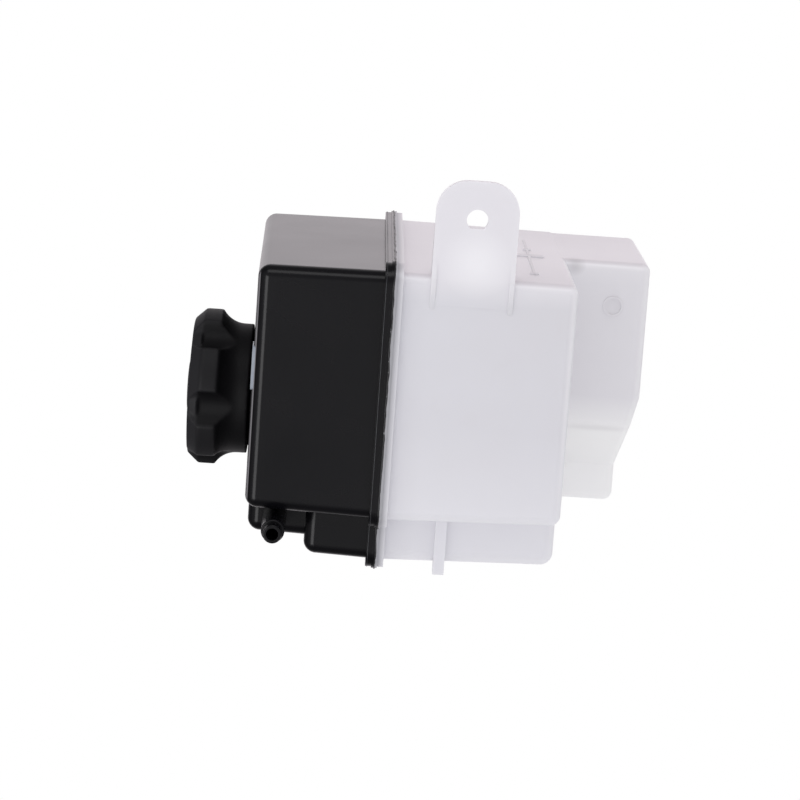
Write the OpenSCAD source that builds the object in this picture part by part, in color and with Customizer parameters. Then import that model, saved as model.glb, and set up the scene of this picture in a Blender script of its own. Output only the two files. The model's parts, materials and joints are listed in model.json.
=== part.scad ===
// Coolant expansion tank: a dark upper half and a natural lower half, welded at a
// flange, with a mounting eye, a vent nipple, a return outlet and a screw cap that
// carries a pressure valve and a vacuum valve. Z runs up the cap's axis, X towards
// the mounting eye and Y away from the near face. The origin is in the mounting eye.

/* [Shells] */
// Width of the main box across X, at the weld plane
box_w = 101.8; // [92:0.2:112]
// Depth of the tank along Y, at the weld plane
tank_d = 162.5; // [150:0.5:180]
// Height of the upper half above the weld plane
upper_h = 54.2; // [50:0.2:64]
// Height of the lower half's main box below the weld plane
lower_h = 73.8; // [66:0.2:88]
// Thickness of the moulded walls
wall = 2.4; // [1.8:0.1:3]
// Radius of the outer edges
edge_r = 5.2; // [4:0.1:7]
// Draft of the face on the mounting eye's side, in degrees
draft_top = 0.6; // [0.2:0.1:1.2]
// Draft of the face away from the mounting eye, in degrees
draft_low = 1.45; // [0.4:0.05:2]
// Draft of the near and far faces, in degrees
draft_side = 0.5; // [0.2:0.1:1.5]
// Slope of the filler face along Y, in degrees
filler_slope = 1.1; // [0:0.1:2]

/* [Rear chamber] */
// Drop of the rear chamber below the main box, across X
step_drop = 21.7; // [16:0.1:26]
// Set-back of the rear chamber from the near face
step_back = 20; // [14:0.5:28]
// Height above the weld plane of the rear chamber's full-depth block
block_h = 29.7; // [24:0.1:35]
// Drop of the shallower block beside it, across X
shelf_drop = 15.4; // [11:0.1:15.8]
// Set-back of the shallower block from the near face
shelf_back = 25; // [22:0.5:32]

/* [Sump] */
// Depth of the sump below the weld plane
sump_h = 109.4; // [104:0.2:118]
// Set-back of the sump from the near face
sump_back = 77.7; // [70:0.1:88]
// Height across X at which the sump's end starts to slope in
sump_knee_x = 42.4; // [36:0.1:50]
// Height across X at which the sump's near face starts to slope in
sump_near_knee_x = 30.6; // [24:0.1:36]
// Height across X of the sump's foot, where the slopes end
sump_foot_x = 10.5; // [6:0.1:14]
// Height across X of the sump's underside
sump_low_x = -5.8; // [-9:0.1:-3]
// Rise of the sump's foot above its underside, where the slopes end
foot_rise = 7.4; // [4:0.1:12]
// Set-back of the sump's foot from the near face
foot_back = 90; // [84:0.5:98]

/* [Weld flange] */
// Reach of the weld flange beyond the walls
flange_w = 3.9; // [3:0.1:6]
// Thickness of each half's flange
flange_t = 3.7; // [3:0.1:4.4]
// Thickness of the lip along the weld that stands out from the flange
lip_t = 1.2; // [0.8:0.1:1.6]
// Height of that lip
lip_h = 0.6; // [0.4:0.1:1]

/* [Swirl plate] */
// Distance of the swirl plate from the near face
swirl_y = 120; // [112:1:130]
// Thickness of the swirl plate
swirl_t = 1.8; // [1.4:0.1:2.4]
// Distance between each half's swirl plate and the weld plane
swirl_gap = 8; // [6:0.5:14]

/* [Mounting eye] */
// Height of the eye's centre above the eye-side wall, across X
eye_rise = 23; // [20:0.5:28]
// Distance of the eye below the weld plane
eye_drop = 31.3; // [28:0.1:40]
// Radius of the eye's hole
eye_r = 4.3; // [3.2:0.05:5]
// Distance of the hole's flat from its centre, as a share of its radius
eye_flat = 0.76; // [0.72:0.01:0.9]
// Width of the tab
tab_w = 33.2; // [28:0.2:38]
// Thickness of the tab
tab_t = 3.6; // [3:0.1:5]
// Distance from the eye's centre to the tab's top edge
tab_top = 15.5; // [13:0.5:18]
// Radius of the tab's top corners
tab_r = 12.6; // [8:0.1:13]
// Thickness of the tab's side ribs
rib_t = 2; // [1.6:0.1:3]
// Reach of the side ribs along the eye-side wall
rib_reach = 17; // [10:0.5:24]
// Length of the side ribs' tails down the near face
rib_tail = 13.5; // [8:0.5:20]

/* [Locating fin] */
// Distance of the locating fin below the weld plane
fin_drop = 26.4; // [22:0.1:36]
// Thickness of the locating fin
fin_t = 4.6; // [3.6:0.1:6]
// Reach of the fin below the rear chamber, across X
fin_reach = 3.2; // [2:0.1:5]
// Depth of the fin along Y
fin_d = 8; // [6:0.5:12]

/* [Vent nipple] */
// Distance of the vent nipple above the weld plane
nipple_z = 42.1; // [38:0.1:45]
// Drop of the nipple's axis below the main box, across X
nipple_drop = 6.4; // [5.9:0.1:8]
// Radius of the nipple's plain end
nipple_r = 3.85; // [3.4:0.05:4.1]
// Length of the nipple's plain end
nipple_end = 5.6; // [4:0.1:6.5]
// Radius of the thicker tube behind the plain end
nipple_root_r = 4.8; // [4.4:0.1:5.2]
// Radius of the nipple's bore
nipple_bore_r = 2.5; // [1.8:0.05:2.7]
// Reach of the nipple in front of the tank's near face
nipple_reach = 8; // [7:0.5:14]

/* [Return outlet] */
// Height of the outlet's axis above the sump's underside
outlet_up = 22.9; // [21:0.1:24]
// Height of the outlet across X
outlet_x = 52; // [48:0.5:60]
// Outer radius of the outlet
outlet_r = 9.5; // [8:0.1:10.5]
// Radius of the outlet's bore
outlet_bore_r = 7.2; // [5.5:0.1:7.6]
// Length of the outlet beyond the tank's depth
outlet_len = 28; // [24:0.5:36]
// Length of the outlet's plain end, past its locking bead
outlet_end = 16; // [12:0.5:18]
// Height of the locking bead
bead_h = 1.4; // [1:0.1:2]
// Width of the locking bead
bead_w = 2.6; // [2:0.1:3.4]

/* [Filler neck] */
// Distance of the neck's axis from the near face
neck_y = 74; // [66:0.5:82]
// Height of the neck's axis across X
neck_x = 36.7; // [33:0.1:42]
// Radius of the neck's bore
neck_bore_r = 20.2; // [19:0.1:21.5]
// Thickness of the neck's wall
neck_wall = 3.5; // [2.8:0.1:4.2]
// Height of the neck above the filler face
neck_h = 14; // [13:0.2:16]
// Reach of the neck's skirt below the filler wall
neck_dip = 9; // [7:0.5:14]

/* [Screw cap] */
// Radial room for the threads between the neck and the cap's skirt
thread_room = 1.4; // [1:0.1:2]
// Thickness of the cap's skirt
skirt_wall = 2.4; // [2:0.1:3]
// Gap between the cap's skirt and the filler face
skirt_gap = 1.2; // [0.8:0.1:2]
// Reach of the lobes beyond the skirt
lobe_reach = 5.5; // [4:0.1:7]
// Number of grip lobes
lobes = 6; // [5:1:8]
// Radius of the scoops between the lobes
scoop_r = 9.2; // [6:0.1:10]
// Turn of the lobes about the cap's axis, in degrees
lobe_turn = -7; // [-60:1:60]
// Height of the lobes' lower edge above the skirt's edge
flare_h = 13.3; // [12:0.1:14]
// Height of the skirt's straight part below the flare
flare_low = 4; // [2:0.1:7]
// Height of the lobes' straight outer faces
lobe_h = 7; // [5:0.1:9]
// Height of the bevel from the lobes to the cap's face
bevel_h = 4.8; // [4:0.1:6]
// Reach of that bevel towards the axis
bevel_reach = 4.5; // [3:0.1:6]
// Rise of the cap's raised middle
dome_h = 1.6; // [1.4:0.1:3]
// Radius of the cap's raised middle
button_r = 10.5; // [8:0.5:14]
// Thickness of the cap's face
cap_t = 2.8; // [2.2:0.1:3.4]
// Width of the ring inside the cap that presses the valve housing down
boss_w = 2.8; // [2:0.1:3.4]

/* [Valve insert] */
// Clearance between the valve housing and the neck's bore
housing_gap = 0.3; // [0.2:0.05:0.5]
// Length of the valve housing below the neck's rim
housing_len = 15; // [14.6:0.1:16]
// Thickness of the flat gasket on the neck's rim
gasket_t = 1.6; // [1.2:0.1:2]
// Radius of the spring chamber
chamber_r = 10.8; // [10.4:0.1:11.5]
// Radius of the pressure valve's seat hole
seat_r = 6.2; // [5.8:0.1:6.5]
// Thickness of the O-rings' cord
oring_d = 2.15; // [1.8:0.05:2.4]
// Wire thickness of the pressure spring
spring_wire = 1.5; // [1:0.1:1.8]
// Mean radius of the pressure spring
spring_r = 8; // [7:0.1:8.6]
// Turns of the pressure spring
spring_turns = 5; // [3:0.5:7]
// Wire thickness of the vacuum spring
small_wire = 0.6; // [0.4:0.05:0.8]
// Turns of the vacuum spring
small_turns = 3.5; // [2:0.5:5]
// Thickness of the valve housing's head
head_t = 1.8; // [1.4:0.1:2.4]
// Rise of the spring tower above the housing's head
tower_rise = 4.2; // [3.6:0.1:4.4]
// Thickness of the pressure valve's plate
plate_t = 1.6; // [1.2:0.1:2]
// Radius of the vacuum valve's stem
stem_r = 1.3; // [1:0.1:1.5]

/* [Hidden] */
$fn = 96;
facet_n = 24;
weld_skin = 0.01;
past = 1;

// Colours
shell_black = [0.07, 0.07, 0.075];
natural = [0.88, 0.88, 0.89];
cap_black = [0.09, 0.09, 0.09];
rubber = [0.12, 0.12, 0.12];
steel = [0.75, 0.76, 0.78];
valve_grey = [0.45, 0.46, 0.48];

// Places worked out from the sizes above
eye_x = box_w + eye_rise;
foot_h = sump_h - foot_rise;
outlet_drop = sump_h - outlet_up;
filler_z = upper_h + neck_y * tan(filler_slope);
rim_z = filler_z + neck_h;
neck_r = neck_bore_r + neck_wall;
skirt_in_r = neck_r + thread_room;
skirt_r = skirt_in_r + skirt_wall;
lobe_r = skirt_r + lobe_reach;
skirt_z = filler_z + skirt_gap;
lobe_z = skirt_z + flare_h;
bevel_z = lobe_z + lobe_h;
face_z = bevel_z + bevel_h;
housing_r = neck_bore_r - housing_gap;
flange_z = rim_z + gasket_t;
head_gap = 0.9;
head_r = skirt_in_r - head_gap;
clip_gap = 0.1;
ring_t = 1;
groove_depth = 0.6;
tower_wall = 1.8;
tower_r = chamber_r + tower_wall;
foot_z = rim_z - housing_len;
floor_t = 2;
seat_lip = 0.8;
seat_z = foot_z + floor_t + seat_lip;
seal_t = 1.4;
plate_z = seat_z + seal_t;
plate_top = plate_z + plate_t;
tower_z = flange_z + head_t + tower_rise;
cover_t = 1;
cover_drop = 1.8;
spring_top = tower_z - cover_drop;
cover_gap = 0.8;
ceiling_z = max(tower_z + cover_t + cover_gap, face_z + dome_h - cap_t);
side_ceiling_z = face_z - cap_t;
face_rise = 0.4;
button_h = 0.9;
boss_r = neck_bore_r - 0.7;
boss_z = flange_z + head_t + clip_gap;
stem_gap = 0.05;
disc_t = 1.2;
disc_gap = 0.9;
disc_r = seat_r - disc_gap;
small_seal_t = 1;
disc_top = plate_z - small_seal_t;
hub_h = 1;
hub_r = 2.3;
small_spring_len = 5.8;
clip_z = plate_top + small_spring_len;
clip_t = 1;
oring_gap = 0.15;
groove_half = oring_d / 2 + oring_gap;
groove_r = neck_bore_r - oring_gap - oring_d;
upper_groove_z = rim_z - 4;
lower_groove_z = rim_z - 10;
groove_wall = 1.3;
pocket_r = groove_r - groove_wall;
chamfer = 0.6;
root_r = 1;
sump_r = 4;
in_r = 2;

function arc(cx, cy, r, a0, a1, n) =
    [for (i = [0 : n]) [cx + r * cos(a0 + (a1 - a0) * i / n), cy + r * sin(a0 + (a1 - a0) * i / n)]];

// Moves a model drawn from the weld plane's corner to the origin in the mounting eye
module from_eye() {
    translate([-eye_x, -tab_t / 2, eye_drop]) children();
}

// A drafted box on the weld plane, open side down: x and y are its limits there, h is
// its height, r its edge radius, and inset moves every wall inwards for the hollow
module drafted_block(x, y, h, r, inset = 0, slope = 0, n = facet_n) {
    top = h - inset;
    rr = max(r - inset, in_r);
    x0 = x[0] + inset;
    x1 = x[1] - inset;
    y0 = y[0] + inset;
    y1 = y[1] - inset;
    start = inset > 0 ? -past : 0;
    hull() {
        for (cx = [x0 + rr, x1 - rr], cy = [y0 + rr, y1 - rr])
            translate([cx, cy, start]) cylinder(r = rr, h = weld_skin, $fn = n);
        for (cx = [x0 + rr + top * tan(draft_low), x1 - rr - top * tan(draft_top)])
            for (cy = [y0 + rr + top * tan(draft_side), y1 - rr - top * tan(draft_side)])
                translate([cx, cy, top - rr + cy * tan(slope)]) sphere(r = rr, $fn = n);
    }
}

// Outline of the tank at the weld plane, grown outwards by reach
module weld_outline(reach) {
    offset(r = edge_r + reach, $fn = 48) offset(delta = -edge_r)
        polygon([[0, 0], [box_w, 0], [box_w, tank_d], [-step_drop, tank_d],
                 [-step_drop, step_back], [0, step_back]]);
}

// The flange along the weld: a plate with a lip that stands out next to the weld
module flange_plate() {
    linear_extrude(flange_t) weld_outline(flange_w - lip_h);
    linear_extrude(lip_t) weld_outline(flange_w);
}

// One half of the swirl plate: a wall across the hollow that stops short of the weld
// plane, so that coolant and air pass between the halves' plates
module swirl_plate(h) {
    translate([-step_drop, swirl_y, swirl_gap])
        cube([step_drop + box_w, swirl_t, h - swirl_gap]);
}

module upper_blocks(inset) {
    drafted_block([0, box_w], [0, tank_d], upper_h, edge_r, inset, filler_slope);
    drafted_block([-step_drop, box_w / 3], [step_back, tank_d], block_h, edge_r, inset);
    drafted_block([-shelf_drop, box_w / 3], [shelf_back, tank_d],
                  upper_h - 0.8, edge_r, inset);
}

// A tube with a plain, rounded end and a thicker root that carries it to the shelf
module vent_nipple() {
    tip_y = -nipple_reach;
    step_y = tip_y + nipple_end;
    root_y = shelf_back + wall;
    translate([-nipple_drop, 0, nipple_z]) rotate([-90, 0, 0]) rotate_extrude()
        polygon(concat([[0, tip_y]], arc(nipple_r - chamfer, tip_y + chamfer, chamfer, 270, 360, 4),
                       [[nipple_r, step_y]],
                       arc(nipple_root_r - chamfer, step_y + chamfer, chamfer, 270, 360, 4),
                       [[nipple_root_r, root_y], [0, root_y]]));
}

// The filler neck before its bore is cut: a skirt below the wall, a fillet at its root
// and a chamfered rim
module neck() {
    low_z = filler_z - wall - neck_dip;
    translate([neck_x, neck_y, 0]) rotate_extrude()
        polygon([[neck_bore_r - past, low_z], [neck_r - chamfer, low_z],
                 [neck_r, low_z + chamfer], [neck_r, filler_z - wall],
                 [neck_r + root_r, filler_z - wall], [neck_r + root_r, filler_z + 0.2],
                 [neck_r, filler_z + 0.2 + root_r], [neck_r, rim_z - chamfer],
                 [neck_r - chamfer, rim_z], [neck_bore_r - past, rim_z]]);
}

module upper_shell() {
    color(shell_black) from_eye() difference() {
        union() {
            difference() {
                union() {
                    upper_blocks(0);
                    flange_plate();
                }
                difference() {
                    upper_blocks(wall);
                    swirl_plate(upper_h + past);
                }
            }
            vent_nipple();
            neck();
        }
        translate([neck_x, neck_y, filler_z - wall - neck_dip - past])
            cylinder(r = neck_bore_r, h = neck_h + wall + neck_dip + 2 * past);
        translate([-nipple_drop, -nipple_reach - past, nipple_z]) rotate([-90, 0, 0])
            cylinder(r = nipple_bore_r, h = nipple_reach + shelf_back + wall + 2 * past);
    }
}

// The sump's sharp core, closed end up, drawn as two profiles that cross: every face
// lies inset from the outer surface, and its corners are rounded by r
module sump_core(inset, r) {
    top_x = box_w - sump_h * tan(draft_top);
    far_y = tank_d - sump_h * tan(draft_side);
    start_z = lower_h / 2;
    intersection() {
        translate([0, tank_d, 0]) rotate([90, 0, 0]) linear_extrude(tank_d)
            offset(r = r, $fn = 24) offset(delta = -inset - r)
                polygon([[top_x, start_z - r], [top_x, sump_h], [sump_knee_x, sump_h],
                         [sump_foot_x, foot_h], [sump_low_x, foot_h], [sump_low_x, start_z - r]]);
        translate([0, 0, start_z]) linear_extrude(sump_h)
            offset(r = r, $fn = 24) offset(delta = -inset - r)
                polygon([[top_x, far_y], [top_x, sump_back], [sump_near_knee_x, sump_back],
                         [sump_foot_x, foot_back], [sump_low_x, foot_back], [sump_low_x, far_y]]);
    }
}

module sump_body() {
    minkowski() {
        sump_core(sump_r, 0);
        sphere(r = sump_r, $fn = facet_n);
    }
}

module lower_blocks(inset) {
    drafted_block([0, box_w], [0, tank_d], lower_h, edge_r - 1, inset);
    drafted_block([-step_drop, box_w / 3], [step_back, tank_d], lower_h - 0.4, edge_r, inset);
}

// The tab with its eye, in the plane of the near face
module mounting_tab() {
    tab_root = 12;
    low_x = box_w - tab_root;
    difference() {
        translate([0, tab_t, 0]) rotate([90, 0, 0]) linear_extrude(tab_t) {
            translate([low_x, -eye_drop - tab_w / 2]) square([tab_root + eye_rise + tab_top - tab_r, tab_w]);
            translate([low_x, -eye_drop - tab_w / 2 + tab_r])
                square([tab_root + eye_rise + tab_top, tab_w - 2 * tab_r]);
            for (z = [-1, 1])
                translate([eye_x + tab_top - tab_r, -eye_drop + z * (tab_w / 2 - tab_r)]) circle(r = tab_r);
        }
        translate([eye_x, tab_t + past, -eye_drop]) rotate([90, 0, 0]) difference() {
            cylinder(r = eye_r, h = tab_t + 2 * past);
            translate([-2 * eye_r - eye_flat * eye_r, -2 * eye_r, -past])
                cube([2 * eye_r, 4 * eye_r, tab_t + 4 * past]);
        }
    }
    for (z = [-eye_drop - tab_w / 2, -eye_drop + tab_w / 2 - rib_t])
        translate([0, 0, z]) linear_extrude(rib_t) {
            polygon([[box_w - 4, tab_t / 2], [eye_x - 2, tab_t / 2], [eye_x - 2, tab_t],
                     [box_w - 0.2, rib_reach], [box_w - 4, rib_reach]]);
            polygon([[box_w - rib_tail, 1.2], [box_w - 1, -1.1], [box_w + 6, 0], [box_w + 6, tab_t / 2],
                     [box_w - rib_tail, tab_t]]);
        }
}

module locating_fin() {
    low_x = -step_drop - fin_reach;
    translate([0, 0, -fin_drop - fin_t / 2]) linear_extrude(fin_t)
        polygon([[low_x, step_back - fin_d / 2 + 0.8], [low_x + 0.8, step_back - fin_d / 2],
                 [-0.6, step_back - fin_d / 2 + 1.4], [wall / 2, step_back - 1], [wall / 2, step_back + wall / 2],
                 [-step_drop + wall / 2, step_back + wall / 2],
                 [-step_drop + wall / 2, step_back + fin_d / 2], [low_x, step_back + fin_d / 2]]);
}

// Raised level line on the eye-side wall
module level_mark() {
    line_up = 16.8;
    line_drop = lower_h - line_up;
    rise = 0.5;
    face_x = box_w - line_drop * tan(draft_top);
    for (m = [[25, 97, 1], [73, 5.6, 12.6], [92, 3.4, 3.4], [23.4, 3.4, 3.4]])
        translate([face_x - wall / 2, m[0], -line_drop - m[2] / 2])
            cube([wall / 2 + rise, m[1], m[2]]);
}

// Moulding mark on the sump's near face
module gate_ring() {
    ring_x = box_w - 20;
    ring_up = 14.8;
    ring_drop = sump_h - ring_up;
    translate([ring_x, sump_back + 1, -ring_drop]) rotate([90, 0, 0]) difference() {
        cylinder(r = 4.4, h = 1.6);
        translate([0, 0, 1]) cylinder(r = 3.4, h = 1);
    }
}

// A spigot on the far wall: a root collar, a locking bead and a plain end
module outlet_tube() {
    far_y = tank_d - outlet_drop * tan(draft_side);
    end_y = tank_d + outlet_len;
    bead_y = end_y - outlet_end;
    collar = 1.6;
    lead_in = 1.5;
    translate([outlet_x, 0, -outlet_drop]) rotate([-90, 0, 0]) rotate_extrude()
        polygon([[0, far_y - wall / 2], [outlet_r + collar, far_y - wall / 2],
                 [outlet_r + collar, far_y + chamfer], [outlet_r, far_y + chamfer + collar],
                 [outlet_r, bead_y - bead_w], [outlet_r + bead_h, bead_y - bead_w + chamfer],
                 [outlet_r + bead_h, bead_y - chamfer], [outlet_r, bead_y],
                 [outlet_r, end_y - lead_in], [outlet_r - chamfer, end_y], [0, end_y]]);
}

module lower_shell() {
    color(natural) from_eye() difference() {
        union() {
            mirror([0, 0, 1]) difference() {
                union() {
                    lower_blocks(0);
                    sump_body();
                    flange_plate();
                }
                difference() {
                    union() {
                        lower_blocks(wall);
                        sump_core(wall, in_r);
                    }
                    swirl_plate(lower_h);
                }
            }
            mounting_tab();
            locating_fin();
            level_mark();
            gate_ring();
            outlet_tube();
        }
        translate([outlet_x, swirl_y + swirl_t + past, -outlet_drop]) rotate([-90, 0, 0])
            cylinder(r = outlet_bore_r, h = tank_d + outlet_len - swirl_y);
    }
}

// The cap's outer grip: a revolved body with scoops between its lobes
module cap_grip() {
    flare_start = skirt_z + flare_low;
    flare_rise = flare_h - flare_low;
    flare_r = (lobe_reach * lobe_reach + flare_rise * flare_rise) / (2 * lobe_reach);
    flare_a = asin(min(1, flare_rise / flare_r));
    bevel_r = lobe_r - bevel_reach;
    color(cap_black) from_eye() translate([neck_x, neck_y, 0]) difference() {
        rotate_extrude()
            polygon(concat(
                [[skirt_in_r, skirt_z], [skirt_r, skirt_z]],
                arc(skirt_r + flare_r, flare_start, flare_r, 180, 180 - flare_a, 8),
                [[lobe_r, bevel_z], [bevel_r, face_z], [button_r + button_h, face_z + face_rise],
                 [button_r, face_z + face_rise + button_h], [0, face_z + dome_h],
                 [0, ceiling_z], [tower_r + cover_gap, ceiling_z], [tower_r + cover_gap, side_ceiling_z],
                 [boss_r, side_ceiling_z], [boss_r, boss_z], [boss_r + boss_w, boss_z],
                 [boss_r + boss_w, side_ceiling_z],
                 [skirt_in_r, side_ceiling_z], [skirt_in_r, flange_z - clip_gap],
                 [skirt_in_r + groove_depth, flange_z - clip_gap],
                 [skirt_in_r + groove_depth, flange_z - clip_gap - ring_t - clip_gap],
                 [skirt_in_r, flange_z - clip_gap - ring_t - clip_gap]]));
        for (i = [0 : lobes - 1])
            rotate([0, 0, lobe_turn + (i + 0.5) * 360 / lobes])
                translate([skirt_r + 0.3 + scoop_r, 0, skirt_z - past])
                    cylinder(r = scoop_r, h = face_z - skirt_z + dome_h + 2 * past);
    }
}

// The split ring that keeps the valve housing's head in the grip
module retaining_ring() {
    ring_out_r = skirt_in_r + groove_depth - 0.3;
    color(steel) from_eye() translate([neck_x, neck_y, flange_z - clip_gap - ring_t - clip_gap / 2])
        difference() {
            cylinder(r = ring_out_r, h = ring_t);
            translate([0, 0, -past]) cylinder(r = head_r - 1.4, h = ring_t + 2 * past);
            translate([0, -1.5, -past]) cube([ring_out_r + past, 3, ring_t + 2 * past]);
        }
}

module oring_groove(z) {
    translate([0, 0, z - groove_half]) difference() {
        cylinder(r = housing_r + past, h = 2 * groove_half);
        translate([0, 0, -past]) cylinder(r = groove_r, h = 2 * groove_half + 2 * past);
    }
}

// The plug that carries the valves: a head, an outer tube with O-ring grooves and a tower
module valve_housing() {
    color(valve_grey) from_eye() translate([neck_x, neck_y, 0]) difference() {
        rotate_extrude()
            polygon([[tower_r, tower_z], [tower_r, foot_z + floor_t + 0.2], [pocket_r, foot_z + floor_t + 0.2],
                     [pocket_r, flange_z + head_t], [head_r, flange_z + head_t], [head_r, flange_z],
                     [housing_r, flange_z], [housing_r, foot_z + 1.5], [housing_r - 1.5, foot_z],
                     [seat_r, foot_z], [seat_r, seat_z], [seat_r + 1.2, seat_z],
                     [seat_r + 1.2, foot_z + floor_t], [chamber_r, foot_z + floor_t], [chamber_r, tower_z]]);
        oring_groove(upper_groove_z);
        oring_groove(lower_groove_z);
        for (a = [45 : 90 : 315]) rotate([0, 0, a]) {
            translate([chamber_r - past, 0, rim_z - 2]) rotate([0, 90, 0])
                cylinder(r = 1.2, h = tower_r - chamber_r + 2 * past);
            translate([pocket_r - past, 0, rim_z - 1.2]) rotate([0, 90, 0])
                cylinder(r = 1, h = housing_r - pocket_r + 2 * past);
        }
    }
}

module valve_cover() {
    color(valve_grey) from_eye() translate([neck_x, neck_y, 0]) difference() {
        rotate_extrude()
            polygon([[0, tower_z + cover_t], [tower_r - 0.5, tower_z + cover_t], [tower_r - 0.5, tower_z],
                     [chamber_r - 0.1, tower_z], [chamber_r - 0.1, spring_top],
                     [spring_r - spring_wire / 2 - 0.3, spring_top],
                     [spring_r - spring_wire / 2 - 0.3, spring_top - 1.2],
                     [spring_r - spring_wire / 2 - 1.7, spring_top - 1.2], [spring_r - spring_wire / 2 - 1.7, spring_top],
                     [0, spring_top]]);
        for (a = [0 : 120 : 240]) rotate([0, 0, a])
            translate([3, 0, spring_top - past]) cylinder(r = 1.2, h = cover_drop + cover_t + 2 * past);
    }
}

module cap_gasket() {
    color(rubber) from_eye() translate([neck_x, neck_y, rim_z]) difference() {
        cylinder(r = neck_r - 1.4, h = gasket_t);
        translate([0, 0, -past]) cylinder(r = neck_bore_r + 0.3, h = gasket_t + 2 * past);
    }
}

module o_ring(z) {
    color(rubber) from_eye() translate([neck_x, neck_y, z])
        rotate_extrude() translate([groove_r + oring_d / 2, 0]) circle(r = oring_d / 2);
}

module upper_o_ring() {
    o_ring(upper_groove_z);
}

module lower_o_ring() {
    o_ring(lower_groove_z);
}

module pressure_plate() {
    guide_r = chamber_r - 0.4;
    color(steel) from_eye() translate([neck_x, neck_y, 0]) difference() {
        union() {
            translate([0, 0, plate_z]) cylinder(r = guide_r, h = plate_t);
            translate([0, 0, plate_top]) cylinder(r = hub_r, h = hub_h);
        }
        translate([0, 0, plate_z - past]) cylinder(r = stem_r + stem_gap, h = plate_t + hub_h + 2 * past);
        for (a = [0 : 60 : 300]) rotate([0, 0, a]) {
            translate([disc_r - 2.1, 0, plate_z - past]) cylinder(r = 0.7, h = plate_t + 2 * past);
            translate([guide_r + 0.9, 0, plate_z - past]) cylinder(r = 2.2, h = plate_t + 2 * past);
        }
    }
}

module pressure_seal() {
    color(rubber) from_eye() translate([neck_x, neck_y, seat_z]) difference() {
        cylinder(r = seat_r + 2, h = seal_t);
        translate([0, 0, -past]) cylinder(r = disc_r + 0.3, h = seal_t + 2 * past);
    }
}

// A coil of round wire from z0 to z1 with a flat turn at each end
module coil(r, d, z0, z1, turns, steps, sides) {
    total = turns + 2;
    n = ceil(total * steps);
    rise = (z1 - z0 - 3 * d) / turns;
    points = [for (i = [0 : n]) let (
        t = i / steps,
        mid = min(max(t - 1, 0), turns),
        z = z0 + d / 2 + d * (min(t, 1) + max(t - 1 - turns, 0)) * 0.98 + rise * mid + 0.02 * d,
        a = 360 * t)
        for (k = [0 : sides - 1]) let (b = 360 * k / sides)
            [(r + d / 2 * cos(b)) * cos(a), (r + d / 2 * cos(b)) * sin(a), z + d / 2 * sin(b)]];
    faces = concat(
        [for (i = [0 : n - 1], k = [0 : sides - 1]) let (q = (k + 1) % sides)
            [i * sides + k, i * sides + q, (i + 1) * sides + q, (i + 1) * sides + k]],
        [[for (k = [0 : sides - 1]) sides - 1 - k]],
        [[for (k = [0 : sides - 1]) n * sides + k]]);
    polyhedron(points, faces, convexity = 10);
}

module pressure_spring() {
    color(steel) from_eye() translate([neck_x, neck_y, 0])
        coil(spring_r, spring_wire, plate_top, spring_top, spring_turns - 2, 20, 8);
}

module vacuum_valve() {
    color(steel) from_eye() translate([neck_x, neck_y, 0]) {
        translate([0, 0, disc_top - disc_t]) cylinder(r = disc_r, h = disc_t);
        difference() {
            translate([0, 0, disc_top - past]) cylinder(r = stem_r, h = clip_z + clip_t + 0.6 - disc_top + past);
            translate([0, 0, clip_z]) difference() {
                cylinder(r = stem_r + past, h = clip_t);
                translate([0, 0, -past]) cylinder(r = stem_r - 0.3, h = clip_t + 2 * past);
            }
        }
    }
}

module vacuum_seal() {
    color(rubber) from_eye() translate([neck_x, neck_y, disc_top]) difference() {
        cylinder(r = disc_r, h = small_seal_t);
        translate([0, 0, -past]) cylinder(r = disc_r - 1.2, h = small_seal_t + 2 * past);
    }
}

module vacuum_spring() {
    color(steel) from_eye() translate([neck_x, neck_y, 0])
        coil(hub_r + 0.3 + small_wire / 2, small_wire, plate_top, clip_z, small_turns - 2, 16, 6);
}

module spring_clip() {
    color(steel) from_eye() translate([neck_x, neck_y, clip_z + 0.05]) difference() {
        cylinder(r = hub_r + 1.8, h = clip_t - 0.1);
        translate([0, 0, -past]) cylinder(r = stem_r - 0.25, h = clip_t + 2 * past);
        translate([0, -stem_r, -past]) cube([hub_r + 3, 2 * stem_r, clip_t + 2 * past]);
    }
}

upper_shell();
lower_shell();
cap_grip();
retaining_ring();
valve_housing();
valve_cover();
cap_gasket();
upper_o_ring();
lower_o_ring();
pressure_plate();
pressure_seal();
pressure_spring();
vacuum_valve();
vacuum_seal();
vacuum_spring();
spring_clip();
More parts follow.
